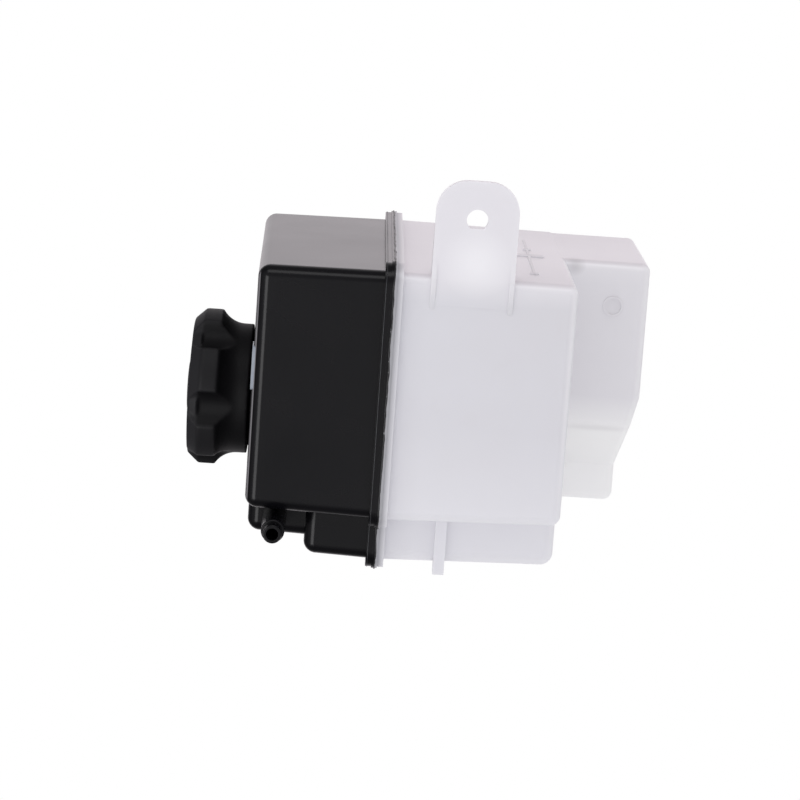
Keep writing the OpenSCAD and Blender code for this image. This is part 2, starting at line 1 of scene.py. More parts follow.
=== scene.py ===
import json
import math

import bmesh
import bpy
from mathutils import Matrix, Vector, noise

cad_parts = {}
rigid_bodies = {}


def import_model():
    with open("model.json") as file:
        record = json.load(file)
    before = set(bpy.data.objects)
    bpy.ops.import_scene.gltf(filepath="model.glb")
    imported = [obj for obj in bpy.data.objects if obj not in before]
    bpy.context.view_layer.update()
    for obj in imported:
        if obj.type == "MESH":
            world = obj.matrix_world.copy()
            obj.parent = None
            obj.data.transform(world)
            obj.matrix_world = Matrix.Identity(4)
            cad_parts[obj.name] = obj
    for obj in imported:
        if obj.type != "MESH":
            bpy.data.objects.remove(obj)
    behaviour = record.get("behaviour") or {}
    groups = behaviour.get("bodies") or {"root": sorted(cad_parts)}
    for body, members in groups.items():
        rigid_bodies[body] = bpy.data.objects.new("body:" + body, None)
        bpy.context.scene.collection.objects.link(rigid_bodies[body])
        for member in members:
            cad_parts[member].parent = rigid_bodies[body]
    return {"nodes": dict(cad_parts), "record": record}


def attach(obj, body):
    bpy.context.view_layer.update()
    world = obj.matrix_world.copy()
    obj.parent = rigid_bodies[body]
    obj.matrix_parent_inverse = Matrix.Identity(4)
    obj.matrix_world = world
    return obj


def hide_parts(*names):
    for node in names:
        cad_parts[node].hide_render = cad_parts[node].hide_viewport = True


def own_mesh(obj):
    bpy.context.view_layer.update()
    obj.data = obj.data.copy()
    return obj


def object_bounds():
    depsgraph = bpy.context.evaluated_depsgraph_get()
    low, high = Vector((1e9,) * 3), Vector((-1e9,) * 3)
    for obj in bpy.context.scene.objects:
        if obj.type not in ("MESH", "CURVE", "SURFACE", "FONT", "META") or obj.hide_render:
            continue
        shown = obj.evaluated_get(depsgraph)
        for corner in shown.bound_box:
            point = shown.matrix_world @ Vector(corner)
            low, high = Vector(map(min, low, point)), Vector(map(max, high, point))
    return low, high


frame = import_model()

# %% [markdown]
# # A coolant expansion tank
#
# The part is a welded plastic tank from an engine bay: a black upper half with a filler neck and a screw
# cap, and a natural white lower half with a mounting tab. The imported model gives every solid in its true
# place. This lesson dresses that model. It keeps the solids whose shape is right, makes softer skins for
# the moulded ones, adds the small things that moulding and welding leave behind, and gives each surface a
# finish. All sizes are in metres, in the model's own frame: Z runs up the cap's axis, X towards the
# mounting eye, and Y away from the camera.

cad_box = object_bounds()
print("the packed model's box:", cad_box)


# %% Select, edit and report
def pick(*objects):
    """Select just these objects, with the first one active."""
    bpy.ops.object.select_all(action="DESELECT")
    for obj in objects:
        obj.select_set(True)
    bpy.context.view_layer.objects.active = objects[0]


def edit_all(obj):
    """Open one object in edit mode with its whole mesh selected."""
    pick(obj)
    bpy.ops.object.mode_set(mode="EDIT")
    bpy.ops.mesh.select_all(action="SELECT")


def face_outwards(obj):
    """Turn all the faces of an object the same way, outwards."""
    edit_all(obj)
    bpy.ops.mesh.normals_make_consistent(inside=False)
    bpy.ops.object.mode_set(mode="OBJECT")


def report(obj):
    """Print a piece's name, its number of faces and its box in millimetres."""
    corners = [obj.matrix_world @ vertex.co for vertex in obj.data.vertices]
    low = [round(min(c[i] for c in corners) * 1000, 1) for i in range(3)]
    high = [round(max(c[i] for c in corners) * 1000, 1) for i in range(3)]
    print(obj.name, len(obj.data.polygons), "faces, from", low, "to", high)


# %% [markdown]
# ## Camera
#
# The photograph shows the near side of the tank with its cap to the left and its tab at the top, so the
# picture's up is the part's X axis. The camera stands about 1.2 metres away, a little towards the tab's
# side, which is why the tab's side of the tank shows as a narrow band. A long lens keeps the edges nearly
# parallel. The camera is aimed by three directions instead of three angles: backwards, right and up.

# %% Camera
camera_place = Vector((0.1556, -1.1781, 0.0481))
camera_aim = Vector((-0.0747, 0.0, 0.0257))
picture_up = Vector((0.97903, 0.19263, 0.06630))
lens_mm = 134.55
sensor_mm = 36

bpy.ops.object.camera_add(location=camera_place)
camera = bpy.context.object
camera.name = "photo_camera"
camera.data.lens = lens_mm
camera.data.sensor_width = sensor_mm
back = (camera_place - camera_aim).normalized()
right = picture_up.cross(back).normalized()
up = back.cross(right)
camera.matrix_world = Matrix.Translation(camera_place) @ Matrix((right, up, back)).transposed().to_4x4()
bpy.context.scene.camera = camera
bpy.context.scene.view_settings.view_transform = "Standard"
print("camera at", tuple(camera_place), "looks along", tuple(round(v, 3) for v in -back))

# %% [markdown]
# ## Floor and background
#
# The background is plain white with no horizon, and everything else gets a softer even light from it. A
# reflection sees the room of a studio: white behind the tank and in front of it, and dim at the sides,
# which gives the glossy black edges their dark borders. The dot product measures how far a direction
# points away from the camera, and the colour ramp turns that into a brightness. A picture of a studio
# could light the scene too, but a few nodes need no file and can be set one by one.
#
# The floor is a wide disc well under the tank, because the tank hangs from its mounting eye in use. It
# lies outside the picture, and it shows the tank's shadow from the other sides.

# %% The room that reflections see
away_from_camera = (-0.05, 0.95, -0.60)
room_front = (0.75, 0.74, 0.77, 1.0)
room_back = (1.20, 1.12, 1.17, 1.0)
greys_between = [(0.12, 0.62), (0.26, 0.20), (0.64, 0.18), (0.72, 0.50), (0.82, 0.85)]

world = bpy.data.worlds.new("white_room")
bpy.context.scene.world = world
world.use_nodes = True
nodes, links = world.node_tree.nodes, world.node_tree.links
nodes.clear()
direction = nodes.new("ShaderNodeTexCoord")
away = nodes.new("ShaderNodeVectorMath")
away.operation = "DOT_PRODUCT"
away.inputs[1].default_value = away_from_camera
depth = nodes.new("ShaderNodeMapRange")
depth.inputs["From Min"].default_value = -1.0
room = nodes.new("ShaderNodeValToRGB")
room.color_ramp.elements[0].color = room_front
room.color_ramp.elements[1].color = room_back
for place, grey in greys_between:
    stop = room.color_ramp.elements.new(place)
    stop.color = (grey, grey * 0.97, grey, 1.0)
links.new(direction.outputs["Generated"], away.inputs[0])
links.new(away.outputs["Value"], depth.inputs["Value"])
links.new(depth.outputs["Result"], room.inputs[0])
print("room with", len(room.color_ramp.elements), "shades")

# %% What each ray gets from the world
even_light = (0.895, 0.89, 0.91, 1.0)
white = (1.0, 1.0, 1.0, 1.0)

rays = nodes.new("ShaderNodeLightPath")
for_reflections = nodes.new("ShaderNodeMix")
for_reflections.data_type = "RGBA"
for_reflections.inputs[6].default_value = even_light
for_camera = nodes.new("ShaderNodeMix")
for_camera.data_type = "RGBA"
for_camera.inputs[7].default_value = white
background = nodes.new("ShaderNodeBackground")
output = nodes.new("ShaderNodeOutputWorld")
links.new(room.outputs["Color"], for_reflections.inputs[7])
links.new(rays.outputs["Is Glossy Ray"], for_reflections.inputs[0])
links.new(for_reflections.outputs[2], for_camera.inputs[6])
links.new(rays.outputs["Is Camera Ray"], for_camera.inputs[0])
links.new(for_camera.outputs[2], background.inputs["Color"])
links.new(background.outputs[0], output.inputs["Surface"])
print("world ready")

# %% Floor
floor_z = cad_box[0][2] - 0.2
floor_middle = (-0.07, 0.05, floor_z)

bpy.ops.mesh.primitive_circle_add(vertices=96, radius=0.75, fill_type="NGON", location=floor_middle)
floor = bpy.context.object
floor.name = "floor"
edit_all(floor)
bpy.ops.mesh.inset(thickness=0.06)
bpy.ops.object.mode_set(mode="OBJECT")
face_outwards(floor)
bpy.ops.object.transform_apply(location=True, rotation=True, scale=True)
report(floor)

# %% Floor finish
seen_lift = 0.16

floor_finish = bpy.data.materials.new("pale_floor")
floor_finish.use_nodes = True
shader = floor_finish.node_tree.nodes["Principled BSDF"]
shader.inputs["Base Color"].default_value = (0.86, 0.86, 0.86, 1.0)
shader.inputs["Roughness"].default_value = 0.9
shader.inputs["Specular IOR Level"].default_value = 0.1
shader.inputs["Emission Color"].default_value = white
floor_rays = floor_finish.node_tree.nodes.new("ShaderNodeLightPath")
lift = floor_finish.node_tree.nodes.new("ShaderNodeMath")
lift.operation = "MULTIPLY"
lift.inputs[1].default_value = seen_lift
floor_finish.node_tree.links.new(floor_rays.outputs["Is Camera Ray"], lift.inputs[0])
floor_finish.node_tree.links.new(lift.outputs[0], shader.inputs["Emission Strength"])
floor.data.materials.append(floor_finish)
print("floor finish ready")

# %% [markdown]
# ## Light
#
# The light in the photograph is soft and almost even, and most of it comes from the white room. A large
# faint lamp on the tab's side warms the narrow side of the tank, and a low one on the right fills the
# corner between the box and the sump. Two strip lamps, left of the camera and above it, only make
# highlights: the black half's rounded edges mirror them as soft lines, and the white half isn't lit by
# them. All four are area lamps, because the size of a lamp sets how soft its light is.

# %% Lamps
def soft_lamp(name, place, aim, width, height, watts):
    """A rectangular area lamp that points at a spot."""
    bpy.ops.object.light_add(type="AREA", location=place)
    lamp = bpy.context.object
    lamp.name = name
    lamp.data.shape = "RECTANGLE"
    lamp.data.size = width
    lamp.data.size_y = height
    lamp.data.energy = watts
    lamp.rotation_euler = (Vector(aim) - Vector(place)).to_track_quat("-Z", "Y").to_euler()
    print(name, watts, "W")
    return lamp


tank_middle = (-0.075, 0.08, 0.01)
side_lamp = soft_lamp("side_lamp", (1.3, -0.2, 0.1), tank_middle, 1.4, 1.4, 1.2)
side_lamp.data.color = (1.0, 0.93, 0.96)
soft_lamp("fill_lamp", (-0.35, -1.5, -0.10), (-0.1, 0.05, -0.05), 1.2, 0.30, 1.0)
left_strip = soft_lamp("left_strip", (-0.36, -1.17, 0.76), tank_middle, 1.3, 0.85, 21.0)
upper_strip = soft_lamp("upper_strip", (1.18, -0.72, 0.0), tank_middle, 0.6, 1.5, 9.0)
for strip in (left_strip, upper_strip):
    strip.visible_diffuse = False

# %% [markdown]
# ## Shared surface effects
#
# Real moulded plastic is never one flat colour. Three small node groups give the variation, and each
# material sets their strength: a fine grain for the bump of the mould's surface, slow clouds for uneven
# colour and gloss, and short scuffs from handling. Two more find surfaces by the way they face, for painted
# light and shade: rounded edges, and the side towards the tab. The groups put out only masks and heights,
# and the shader stays in each material, so an exporter can still read it.

# %% Node group: fine grain
def new_group(name, inputs, outputs):
    """A shader node group with named float inputs and outputs."""
    group = bpy.data.node_groups.new(name, "ShaderNodeTree")
    for socket_name, value in inputs:
        socket = group.interface.new_socket(socket_name, in_out="INPUT", socket_type="NodeSocketFloat")
        socket.default_value = value
    for socket_name in outputs:
        group.interface.new_socket(socket_name, in_out="OUTPUT", socket_type="NodeSocketFloat")
    return group, group.nodes.new("NodeGroupInput"), group.nodes.new("NodeGroupOutput")


grain_group, group_in, group_out = new_group("mould_grain", [("Scale", 2500.0), ("Detail", 2.0)],
                                             ["Height", "Mask"])
nodes, links = grain_group.nodes, grain_group.links
coordinate = nodes.new("ShaderNodeTexCoord")
fine = nodes.new("ShaderNodeTexNoise")
links.new(coordinate.outputs["Object"], fine.inputs["Vector"])
links.new(group_in.outputs["Scale"], fine.inputs["Scale"])
links.new(group_in.outputs["Detail"], fine.inputs["Detail"])
peaks = nodes.new("ShaderNodeMapRange")
peaks.inputs["From Min"].default_value = 0.35
peaks.inputs["From Max"].default_value = 0.65
links.new(fine.outputs["Fac"], peaks.inputs["Value"])
links.new(fine.outputs["Fac"], group_out.inputs["Height"])
links.new(peaks.outputs["Result"], group_out.inputs["Mask"])
print("group", grain_group.name)

# %% Node group: slow clouds
cloud_group, group_in, group_out = new_group("slow_clouds", [("Scale", 22.0), ("Contrast", 1.0)],
                                             ["Mask"])
nodes, links = cloud_group.nodes, cloud_group.links
coordinate = nodes.new("ShaderNodeTexCoord")
wide = nodes.new("ShaderNodeTexNoise")
wide.inputs["Detail"].default_value = 3.0
wide.inputs["Roughness"].default_value = 0.55
links.new(coordinate.outputs["Object"], wide.inputs["Vector"])
links.new(group_in.outputs["Scale"], wide.inputs["Scale"])
centre = nodes.new("ShaderNodeMath")
centre.operation = "SUBTRACT"
centre.inputs[1].default_value = 0.5
spread = nodes.new("ShaderNodeMath")
spread.operation = "MULTIPLY_ADD"
spread.use_clamp = True
spread.inputs[2].default_value = 0.5
links.new(wide.outputs["Fac"], centre.inputs[0])
links.new(centre.outputs[0], spread.inputs[0])
links.new(group_in.outputs["Contrast"], spread.inputs[1])
links.new(spread.outputs[0], group_out.inputs["Mask"])
print("group", cloud_group.name)

# %% Node group: scuffs from handling
scuff_group, group_in, group_out = new_group("handling_scuffs", [("Scale", 90.0), ("Amount", 0.3)],
                                             ["Mask"])
nodes, links = scuff_group.nodes, scuff_group.links
coordinate = nodes.new("ShaderNodeTexCoord")
stretch = nodes.new("ShaderNodeMapping")
stretch.inputs["Rotation"].default_value = (0.4, 0.7, 0.5)
stretch.inputs["Scale"].default_value = (1.0, 0.12, 1.0)
streak = nodes.new("ShaderNodeTexNoise")
streak.inputs["Detail"].default_value = 4.0
links.new(coordinate.outputs["Object"], stretch.inputs["Vector"])
links.new(stretch.outputs[0], streak.inputs["Vector"])
links.new(group_in.outputs["Scale"], streak.inputs["Scale"])
thin = nodes.new("ShaderNodeMapRange")
thin.inputs["From Min"].default_value = 0.62
thin.inputs["From Max"].default_value = 0.74
links.new(streak.outputs["Fac"], thin.inputs["Value"])
amount = nodes.new("ShaderNodeMath")
amount.operation = "MULTIPLY"
links.new(thin.outputs["Result"], amount.inputs[0])
links.new(group_in.outputs["Amount"], amount.inputs[1])
links.new(amount.outputs[0], group_out.inputs["Mask"])
print("group", scuff_group.name)

# %% Node group: glow of thin milky edges
glow_group, group_in, group_out = new_group("edge_glow", [("Amount", 0.5)], ["Mask"])
nodes, links = glow_group.nodes, glow_group.links
coordinate = nodes.new("ShaderNodeTexCoord")
facing = nodes.new("ShaderNodeSeparateXYZ")
links.new(coordinate.outputs["Normal"], facing.inputs[0])
steepest = None
for axis in "XYZ":
    size = nodes.new("ShaderNodeMath")
    size.operation = "ABSOLUTE"
    links.new(facing.outputs[axis], size.inputs[0])
    if steepest is None:
        steepest = size
    else:
        larger = nodes.new("ShaderNodeMath")
        larger.operation = "MAXIMUM"
        links.new(steepest.outputs[0], larger.inputs[0])
        links.new(size.outputs[0], larger.inputs[1])
        steepest = larger
turned = nodes.new("ShaderNodeMapRange")
turned.inputs["From Min"].default_value = 0.995
turned.inputs["From Max"].default_value = 0.80
links.new(steepest.outputs[0], turned.inputs["Value"])
amount = nodes.new("ShaderNodeMath")
amount.operation = "MULTIPLY"
links.new(turned.outputs["Result"], amount.inputs[0])
links.new(group_in.outputs["Amount"], amount.inputs[1])
links.new(amount.outputs[0], group_out.inputs["Mask"])
print("group", glow_group.name)

# %% Node group: faces towards the tab, which get a painted shade
tab_side_shade_group, group_in, group_out = new_group("tab_side_shade", [], ["Mask"])
nodes, links = tab_side_shade_group.nodes, tab_side_shade_group.links
coordinate = nodes.new("ShaderNodeTexCoord")
facing = nodes.new("ShaderNodeSeparateXYZ")
side_on = nodes.new("ShaderNodeMapRange")
side_on.inputs["From Min"].default_value = 0.55
side_on.inputs["From Max"].default_value = 0.95
links.new(coordinate.outputs["Normal"], facing.inputs[0])
links.new(facing.outputs["X"], side_on.inputs["Value"])
links.new(side_on.outputs["Result"], group_out.inputs["Mask"])
print("group", tab_side_shade_group.name)

# %% [markdown]
# ## Finishes
#
# One function builds every plastic, rubber and metal from the same recipe: two close colours mixed by the
# clouds and the scuffs, a roughness that varies in the same places, and a fine bump. The numbers differ:
# the black half is smooth and a little glossy, the cap is matt, and the white half is milky and lets light
# a little way in. The two metals also get a metallic shader.

# %% Place a shared group in a material
def group_node(material, group, **values):
    """Place a shared group in a material, with its own values."""
    node = material.node_tree.nodes.new("ShaderNodeGroup")
    node.node_tree = group
    for name, value in values.items():
        node.inputs[name].default_value = value
    return node


# %% A finish from two colours, roughness and grain
def make_finish(name, colour, other_colour, rough, other_rough, grain_scale, grain_mm, cloud_scale=22.0,
                contrast=2.0, scuffs=0.3, specular=0.5):
    """Clouds and scuffs mix the two colours and roughnesses, and grain makes the bump."""
    material = bpy.data.materials.new(name)
    material.use_nodes = True
    tree = material.node_tree
    shader = tree.nodes["Principled BSDF"]
    shader.inputs["Specular IOR Level"].default_value = specular
    clouds = group_node(material, cloud_group, Scale=cloud_scale, Contrast=contrast)
    scuff = group_node(material, scuff_group, Scale=90.0, Amount=scuffs)
    grain = group_node(material, grain_group, Scale=grain_scale, Detail=2.0)
    both = tree.nodes.new("ShaderNodeMath")
    both.operation = "ADD"
    both.use_clamp = True
    tree.links.new(clouds.outputs["Mask"], both.inputs[0])
    tree.links.new(scuff.outputs["Mask"], both.inputs[1])
    colours = tree.nodes.new("ShaderNodeMix")
    colours.data_type = "RGBA"
    colours.inputs[6].default_value = (*colour, 1.0)
    colours.inputs[7].default_value = (*other_colour, 1.0)
    tree.links.new(both.outputs[0], colours.inputs[0])
    tree.links.new(colours.outputs[2], shader.inputs["Base Color"])
    gloss = tree.nodes.new("ShaderNodeMapRange")
    gloss.inputs["To Min"].default_value = rough
    gloss.inputs["To Max"].default_value = other_rough
    tree.links.new(both.outputs[0], gloss.inputs["Value"])
    tree.links.new(gloss.outputs["Result"], shader.inputs["Roughness"])
    bump = tree.nodes.new("ShaderNodeBump")
    bump.inputs["Strength"].default_value = 1.0
    bump.inputs["Distance"].default_value = grain_mm / 1000
    tree.links.new(grain.outputs["Height"], bump.inputs["Height"])
    tree.links.new(bump.outputs["Normal"], shader.inputs["Normal"])
    print("finish", name)
    return material


# %% The seven finishes
black_shell = make_finish("black_shell", (0.0024, 0.0024, 0.0034), (0.0042, 0.0040, 0.0052),
                          0.21, 0.24, 1400, 0.008, specular=0.14, scuffs=0.1)
natural_shell = make_finish("natural_shell", (0.69, 0.69, 0.73), (0.66, 0.65, 0.68),
                            0.34, 0.46, 1100, 0.012, cloud_scale=12.0, specular=0.4, scuffs=0.15)
cap_plastic = make_finish("cap_plastic", (0.0046, 0.0045, 0.0054), (0.0064, 0.0062, 0.0072),
                          0.46, 0.58, 2400, 0.03, specular=0.09)
valve_plastic = make_finish("valve_plastic", (0.17, 0.175, 0.185), (0.22, 0.225, 0.235),
                            0.42, 0.55, 1500, 0.015)
seal_rubber = make_finish("seal_rubber", (0.012, 0.012, 0.012), (0.022, 0.022, 0.021),
                          0.62, 0.8, 2600, 0.02, specular=0.3)
valve_steel = make_finish("valve_steel", (0.56, 0.56, 0.57), (0.48, 0.48, 0.50),
                          0.28, 0.4, 1800, 0.006)
spring_steel = make_finish("spring_steel", (0.50, 0.50, 0.52), (0.40, 0.40, 0.42),
                           0.24, 0.38, 1600, 0.006)
for metal in (valve_steel, spring_steel):
    metal.node_tree.nodes["Principled BSDF"].inputs["Metallic"].default_value = 1.0

# %% [markdown]
# Some places on the tank get another colour than the rest of their moulding, most of them painted light
# and shade. They could be painted on an unwrapped copy of the mesh. Here a mask marks such a place by its
# position on the object instead, so it needs no picture and stays in place when a skin is made anew. A
# second colour is then mixed into the base colour by the mask.

# %% Masks along an axis and round a point
def mask_along(material, axis, start, end):
    """A mask that rises from 0 to 1 along one of the object's axes."""
    tree = material.node_tree
    coordinate = tree.nodes.new("ShaderNodeTexCoord")
    split = tree.nodes.new("ShaderNodeSeparateXYZ")
    ramp = tree.nodes.new("ShaderNodeMapRange")
    ramp.inputs["From Min"].default_value = start
    ramp.inputs["From Max"].default_value = end
    tree.links.new(coordinate.outputs["Object"], split.inputs[0])
    tree.links.new(split.outputs[axis], ramp.inputs["Value"])
    return ramp.outputs["Result"]


def mask_around(material, centre, counted, start, end):
    """A mask that changes with the distance from a point; a direction may count less, or not at all."""
    tree = material.node_tree
    coordinate = tree.nodes.new("ShaderNodeTexCoord")
    from_centre = tree.nodes.new("ShaderNodeVectorMath")
    from_centre.operation = "SUBTRACT"
    from_centre.inputs[1].default_value = centre
    flat = tree.nodes.new("ShaderNodeVectorMath")
    flat.operation = "MULTIPLY"
    flat.inputs[1].default_value = counted
    distance = tree.nodes.new("ShaderNodeVectorMath")
    distance.operation = "LENGTH"
    ramp = tree.nodes.new("ShaderNodeMapRange")
    ramp.inputs["From Min"].default_value = start
    ramp.inputs["From Max"].default_value = end
    tree.links.new(coordinate.outputs["Object"], from_centre.inputs[0])
    tree.links.new(from_centre.outputs[0], flat.inputs[0])
    tree.links.new(flat.outputs[0], distance.inputs[0])
    tree.links.new(distance.outputs["Value"], ramp.inputs["Value"])
    return ramp.outputs["Result"]


# %% A mask for a block
def mask_block(material, centre, half_size):
    """A mask for what lies in a block, given by its middle and half its sizes."""
    tree = material.node_tree
    coordinate = tree.nodes.new("ShaderNodeTexCoord")
    steps = [("SUBTRACT", centre), ("ABSOLUTE", None), ("DIVIDE", half_size)]
    place = coordinate.outputs["Object"]
    for operation, value in steps:
        step = tree.nodes.new("ShaderNodeVectorMath")
        step.operation = operation
        if value:
            step.inputs[1].default_value = value
        tree.links.new(place, step.inputs[0])
        place = step.outputs[0]
    parts = tree.nodes.new("ShaderNodeSeparateXYZ")
    tree.links.new(place, parts.inputs[0])
    furthest = parts.outputs["X"]
    for axis in ("Y", "Z"):
        larger = tree.nodes.new("ShaderNodeMath")
        larger.operation = "MAXIMUM"
        tree.links.new(furthest, larger.inputs[0])
        tree.links.new(parts.outputs[axis], larger.inputs[1])
        furthest = larger.outputs[0]
    ramp = tree.nodes.new("ShaderNodeMapRange")
    ramp.inputs["From Min"].default_value = 1.15
    ramp.inputs["From Max"].default_value = 0.9
    tree.links.new(furthest, ramp.inputs["Value"])
    return ramp.outputs["Result"]


# %% Two masks joined
def both_masks(material, first, second):
    """One mask that shows only where both masks show."""
    product = material.node_tree.nodes.new("ShaderNodeMath")
    product.operation = "MULTIPLY"
    material.node_tree.links.new(first, product.inputs[0])
    material.node_tree.links.new(second, product.inputs[1])
    return product.outputs[0]


# %% Mix one more colour in
def blend_colour(material, mask, strength, colour):
    """Mix one more colour into the base colour by a mask."""
    tree = material.node_tree
    shader = tree.nodes["Principled BSDF"]
    before = shader.inputs["Base Color"].links[0].from_socket
    share = tree.nodes.new("ShaderNodeMath")
    share.operation = "MULTIPLY"
    share.inputs[1].default_value = strength
    tree.links.new(mask, share.inputs[0])
    mix = tree.nodes.new("ShaderNodeMix")
    mix.data_type = "RGBA"
    mix.inputs[7].default_value = (*colour, 1.0)
    tree.links.new(share.outputs[0], mix.inputs[0])
    tree.links.new(before, mix.inputs[6])
    tree.links.new(mix.outputs[2], shader.inputs["Base Color"])
    return mix


# %% [markdown]
# The white half is translucent, and light that has come through its walls makes it glow a little from
# inside: along the rounded edges, in the tab and its root, at the end away from the tab and in the sump,
# most of all in the sump's narrow foot. Beside the black half there is less of it, and the faces towards
# the tab get a painted shade that makes them darker and a little pinker. To follow real light through the
# walls would take long renders, so this glow and shade are painted into the colour: each of these places
# gets its own mask and shade.

# %% Painted glow and shade of the white half
edges = group_node(natural_shell, glow_group, Amount=1.0).outputs["Mask"]
blend_colour(natural_shell, edges, 0.55, (0.84, 0.835, 0.855))
tab_end = mask_along(natural_shell, "X", -0.034, -0.024)
blend_colour(natural_shell, tab_end, 0.75, (0.785, 0.77, 0.80))
away_from_tab = mask_along(natural_shell, "X", -0.085, -0.122)
blend_colour(natural_shell, away_from_tab, 0.6, (0.77, 0.765, 0.80))
tab_root = mask_around(natural_shell, (-0.017, 0.0, -0.001), (1.0, 0.6, 1.0), 0.015, 0.003)
blend_colour(natural_shell, tab_root, 0.62, (0.88, 0.875, 0.895))
near_part = mask_along(natural_shell, "Y", 0.120, 0.082)
past_box = mask_along(natural_shell, "Z", -0.0420, -0.0440)
sump = both_masks(natural_shell, near_part, past_box)
blend_colour(natural_shell, sump, 0.6, (0.78, 0.765, 0.785))
sump_foot = both_masks(natural_shell, sump, mask_along(natural_shell, "X", -0.082, -0.099))
blend_colour(natural_shell, sump_foot, 0.9, (0.91, 0.91, 0.90))
beside_weld = mask_along(natural_shell, "Z", 0.016, 0.030)
blend_colour(natural_shell, beside_weld, 0.5, (0.62, 0.615, 0.65))
# Painted shade: the faces towards the tab are made darker and a little pinker.
tab_side_shade = group_node(natural_shell, tab_side_shade_group).outputs["Mask"]
blend_colour(natural_shell, tab_side_shade, 0.85, (0.61, 0.57, 0.60))
print("white half glows")

# %% [markdown]
# The white half gets painted shade in four places. The raised level mark lets less light through, because
# the plastic is thicker there, and shade falls on the moulding ring on the sump and in two inner corners
# of the sump. So they are made a little darker. The level mark is a line with a bar and two dots on it.

# %% Painted shade on the white half
shade = (0.36, 0.34, 0.36)
level_mark_shade = [
    ((-0.0240, 0.0717, -0.0257), (0.003, 0.0485, 0.0005)),
    ((-0.0240, 0.0740, -0.0257), (0.003, 0.0028, 0.0063)),
    ((-0.0240, 0.0919, -0.0257), (0.003, 0.0017, 0.0017)),
    ((-0.0240, 0.0233, -0.0257), (0.003, 0.0017, 0.0017)),
]
for centre, half_size in level_mark_shade:
    blend_colour(natural_shell, mask_block(natural_shell, centre, half_size), 0.32, shade)
sump_corner_shade = mask_around(natural_shell, (-0.0262, 0.0762, -0.0458), (1.0, 0.5, 1.0), 0.0050, 0.0010)
blend_colour(natural_shell, sump_corner_shade, 0.35, (0.30, 0.285, 0.30))
sump_knee_shadow = mask_around(natural_shell, (-0.0962, 0.0775, -0.0600), (1.0, 0.2, 0.09), 0.0019, 0.0005)
blend_colour(natural_shell, sump_knee_shadow, 0.14, shade)
# Painted shade on the moulding ring of the sump.
ring = mask_around(natural_shell, (-0.0430, 0.0759, -0.0633), (1.0, 0.2, 1.0), 0.0048, 0.0043)
blend_colour(natural_shell, ring, 0.08, shade)
print("thick places shaded")

# %% [markdown]
# The black half's shadow dulls a narrow strip under the weld. Then a faint emission in the same colours
# stands for the light from inside, and a little subsurface light softens the edges.

# %% Strip under the weld, and the light inside
dull_strip = mask_along(natural_shell, "Z", 0.0272, 0.0302)
last = blend_colour(natural_shell, dull_strip, 0.9, (0.32, 0.32, 0.34))
milky = natural_shell.node_tree.nodes["Principled BSDF"]
natural_shell.node_tree.links.new(last.outputs[2], milky.inputs["Emission Color"])
milky.inputs["Emission Strength"].default_value = 0.07
milky.inputs["Subsurface Weight"].default_value = 0.25
milky.inputs["Subsurface Radius"].default_value = (1.0, 1.0, 1.0)
milky.inputs["Subsurface Scale"].default_value = 0.004
print("white half is milky")

# %% [markdown]
# A painted highlight runs along the near edge of the filler face, where its rounded edge catches the
# light at a grazing angle. It shows as a thin light line between the cap and the black half.

# %% Painted highlight on the edge of the filler face
highlighted = both_masks(black_shell, mask_along(black_shell, "Z", 0.08445, 0.08465),
                    mask_along(black_shell, "Y", 0.0022, 0.0012))
blend_colour(black_shell, highlighted, 1.0, (0.23, 0.22, 0.23))
print("edge rubbed")

# %% [markdown]
# The cap's outer faces get a painted sheen, so they are a little lighter than the scoops and the skirt,
# and the rim round the face a brighter painted highlight. The mask is the distance from the cap's axis,
# and a second mask takes the rim round the face.

# %% Painted sheen on the faces of the cap
neck_axis = Vector((-0.0881, 0.0722, 0.0))
lobe_sheen = mask_around(cap_plastic, neck_axis, (1.0, 1.0, 0.0), 0.0314, 0.0326)
blend_colour(cap_plastic, lobe_sheen, 0.9, (0.0135, 0.0132, 0.0148))
face_rim_highlight = mask_along(cap_plastic, "Z", 0.1084, 0.1096)
blend_colour(cap_plastic, face_rim_highlight, 0.9, (0.0200, 0.0197, 0.0218))
print("cap worn")

# %% [markdown]
# ## Finishes on the solids that stay
#
# All but the springs of the valve insert keep their exact solids. They are seen only from below the neck or
# where the cap is raised, so a good finish is all they need.

# %% Dress the valve insert
finish_of = {
    "valve_housing": valve_plastic, "valve_cover": valve_plastic, "retaining_ring": spring_steel,
    "cap_gasket": seal_rubber, "upper_o_ring": seal_rubber, "lower_o_ring": seal_rubber,
    "pressure_plate": valve_steel, "pressure_seal": seal_rubber, "vacuum_valve": valve_steel,
    "vacuum_seal": seal_rubber, "spring_clip": spring_steel,
}
for node_name, finish in finish_of.items():
    solid = frame["nodes"][node_name]
    solid.data.materials.clear()
    solid.data.materials.append(finish)
print(len(finish_of), "solids dressed")

# %% [markdown]
# ## Skins for the moulded halves
#
# A moulded edge is never sharp: the mould has small radii, and the flange, the tab and the blocks all show
# a thin highlight along their edges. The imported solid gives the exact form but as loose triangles, so a
# copy is merged, its flat faces are joined, every sharp edge gets a bevel of a third of a millimetre, and
# the normals are weighted by area so that large faces stay flat. The copy then stands for the solid.

# %% Copy a solid, merge it and join its flat faces
def skin_of(node_name, name, flat_angle=0.6):
    """A merged copy of a node's mesh, ready to be beveled."""
    mesh = frame["nodes"][node_name].data.copy()
    mesh.name = name
    skin = bpy.data.objects.new(name, mesh)
    bpy.context.collection.objects.link(skin)
    pick(skin)
    bpy.ops.mesh.customdata_custom_splitnormals_clear()
    edit_all(skin)
    bpy.ops.mesh.remove_doubles(threshold=0.00002)
    bpy.ops.mesh.dissolve_limited(angle_limit=math.radians(flat_angle))
    bpy.ops.object.mode_set(mode="OBJECT")
    skin.data.materials.clear()
    report(skin)
    return skin


